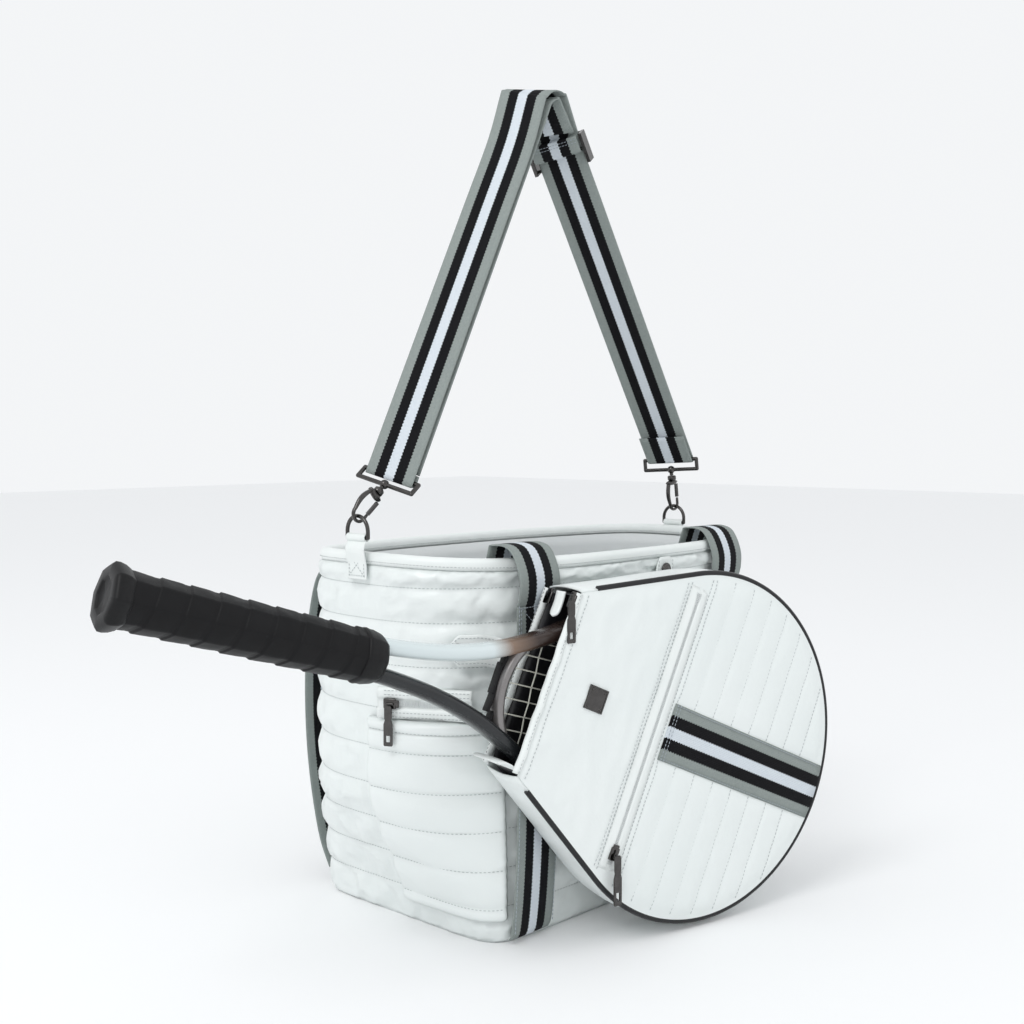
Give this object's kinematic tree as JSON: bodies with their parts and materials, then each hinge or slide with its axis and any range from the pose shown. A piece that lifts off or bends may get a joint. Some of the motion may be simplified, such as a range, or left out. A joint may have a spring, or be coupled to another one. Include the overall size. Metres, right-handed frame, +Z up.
{
  "type": "racket backpack",
  "caption": "Puffer tote with striped webbing straps, a clip-on shoulder strap, and a hinged racket cover on its front holding a tennis racket.",
  "frame": {"origin": "centre of the tote's base, on the floor", "axes": "+X along the tote's length, -Y out of its front towards the racket cover, +Z up"},
  "size_m": [0.7504, 0.3963, 0.7593],
  "materials": {
    "puffer_fabric": "glossy coated nylon",
    "lining_fabric": "plain woven",
    "striped_webbing": "woven, five stripes",
    "gunmetal": "dark polished plating",
    "white_trim": "smooth coated",
    "black_trim": "satin",
    "board": "matte",
    "frame_paint": "gloss paint",
    "bridge_paint": "satin metallic paint",
    "grip_wrap": "tacky perforated wrap",
    "string": "smooth",
    "core_foam": "matte"
  },
  "bodies": {
    "tote": {"tote_front_panel": "puffer_fabric", "tote_back_panel": "puffer_fabric", "tote_base_panel": "puffer_fabric", "base_board": "board", "tote_lining": "lining_fabric", "rim_binding": "white_trim", "end_pocket_panel": "puffer_fabric", "end_pocket_zip": "white_trim", "front_web_left": "striped_webbing", "front_web_right": "striped_webbing", "handle_riser_left": "striped_webbing", "handle_riser_right": "striped_webbing", "back_strap_left": "striped_webbing", "back_strap_right": "striped_webbing", "ring_tab_left": "white_trim", "ring_tab_right": "white_trim", "snap_tab_left": "white_trim", "snap_cap_left": "gunmetal", "snap_studs": "gunmetal"},
    "end_slider": {"end_zip_slider": "gunmetal"},
    "end_pull": {"end_zip_pull": "gunmetal"},
    "handle": {"front_handle": "striped_webbing"},
    "ring_left": {"d_ring_left": "gunmetal"},
    "ring_right": {"d_ring_right": "gunmetal"},
    "shoulder_strap": {"strap_long_run": "striped_webbing", "strap_doubled_run": "striped_webbing", "swivel_loop_left": "gunmetal", "swivel_loop_right": "gunmetal"},
    "adjuster": {"strap_slider": "gunmetal", "strap_fold_end": "striped_webbing"},
    "left_hook": {"hook_left": "gunmetal"},
    "right_hook": {"hook_right": "gunmetal"},
    "left_gate": {"hook_gate_left": "gunmetal"},
    "right_gate": {"hook_gate_right": "gunmetal"},
    "cover": {"cover_front_panel": "puffer_fabric", "cover_back_panel": "puffer_fabric", "cover_gusset": "puffer_fabric", "cover_piping": "black_trim", "mouth_binding_front": "white_trim", "mouth_binding_back": "white_trim", "cover_pocket_zip": "white_trim", "zip_end_tabs": "white_trim", "cover_web_band": "striped_webbing", "badge_plate": "gunmetal", "badge_rivets": "gunmetal"},
    "top_tab": {"snap_tab_right": "white_trim", "snap_cap_right": "gunmetal"},
    "cover_slider": {"cover_zip_slider": "gunmetal"},
    "cover_pull": {"cover_zip_pull": "gunmetal"},
    "mouth_sliders": {"mouth_zip_sliders": "gunmetal"},
    "mouth_pull": {"mouth_zip_pull": "gunmetal"},
    "racket": {"racket_frame": "frame_paint", "racket_bridge": "bridge_paint", "racket_bumper": "black_trim", "racket_strings": "string", "racket_handle_core": "core_foam", "racket_grip": "grip_wrap", "racket_collar": "black_trim", "racket_butt_cap": "black_trim"}
  },
  "joints": [
    {"name": "end_zip_slide", "type": "slide", "parent": "tote", "child": "end_slider", "axis": [0.4833, -0.8755, 0], "range_m": [0, 0.0588]},
    {"name": "end_pull_lift", "type": "hinge", "parent": "end_slider", "child": "end_pull", "pos_m": [-0.23217, -0.0438, 0.204], "axis": [-0.4833, 0.8755, 0], "range_deg": [0, 60]},
    {"name": "handle_lift", "type": "hinge", "parent": "tote", "child": "handle", "pos_m": [0, -0.09392, 0.3365], "axis": [1, 0, 0], "range_deg": [0, 130]},
    {"name": "ring_left_tip", "type": "hinge", "parent": "tote", "child": "ring_left", "pos_m": [-0.2265, 0, 0.342], "axis": [0, 1, 0], "range_deg": [-1, 4]},
    {"name": "ring_right_tip", "type": "hinge", "parent": "tote", "child": "ring_right", "pos_m": [0.2265, 0, 0.332], "axis": [0, 1, 0], "range_deg": [-3, 1]},
    {"name": "strap_swing", "type": "hinge", "parent": "tote", "child": "shoulder_strap", "pos_m": [0, 0, 0.342], "axis": [0.9998, 0, -0.0221], "range_deg": [-55, 55]},
    {"name": "adjuster_slide", "type": "slide", "parent": "shoulder_strap", "child": "adjuster", "axis": [0.527, 0, -0.8499], "range_m": [0, 0.05]},
    {"name": "left_hook_swivel", "type": "hinge", "parent": "shoulder_strap", "child": "left_hook", "pos_m": [-0.20352, 0, 0.37953], "axis": [0.766, 0, 0.6428], "range_deg": [-38, 38]},
    {"name": "right_hook_swivel", "type": "hinge", "parent": "shoulder_strap", "child": "right_hook", "pos_m": [0.22232, 0, 0.37996], "axis": [-0.1392, 0, 0.9903], "range_deg": [-38, 38]},
    {"name": "left_gate_press", "type": "hinge", "parent": "left_hook", "child": "left_gate", "pos_m": [-0.20487, 0, 0.36978], "axis": [0, 1, 0], "range_deg": [0, 20], "stiffness_Nm_per_rad": 0.02, "springref_deg": -11.46},
    {"name": "right_gate_press", "type": "hinge", "parent": "right_hook", "child": "right_gate", "pos_m": [0.22988, 0, 0.37365], "axis": [0, 1, 0], "range_deg": [0, 20], "stiffness_Nm_per_rad": 0.02, "springref_deg": -11.46},
    {"name": "cover_swing", "type": "hinge", "parent": "tote", "child": "cover", "pos_m": [-0.16754, -0.12303, 0.23365], "axis": [0, 0, -1], "range_deg": [0, 22]},
    {"name": "top_tab_unsnap", "type": "hinge", "parent": "cover", "child": "top_tab", "pos_m": [0.033, -0.16747, 0.23215], "axis": [1, 0, 0], "range_deg": [0, 14]},
    {"name": "cover_zip_slide", "type": "slide", "parent": "cover", "child": "cover_slider", "axis": [0.3963, -0.0915, 0.9135], "range_m": [0, 0.2192]},
    {"name": "cover_pull_lift", "type": "hinge", "parent": "cover_slider", "child": "cover_pull", "pos_m": [-0.11381, -0.19394, 0.08219], "axis": [-0.9744, 0.225, 0], "range_deg": [0, 150]},
    {"name": "mouth_zip_slide", "type": "slide", "parent": "cover", "child": "mouth_sliders", "axis": [-0.3963, 0.0915, -0.9135], "range_m": [0, 0.012]},
    {"name": "mouth_pull_lift", "type": "hinge", "parent": "mouth_sliders", "child": "mouth_pull", "pos_m": [-0.15513, -0.17824, 0.29608], "axis": [-0.9744, 0.225, 0], "range_deg": [0, 120]},
    {"name": "racket_slide", "type": "slide", "parent": "cover", "child": "racket", "axis": [-0.9318, 0.2151, 0.2924], "range_m": [0, 0.012]}
  ]
}
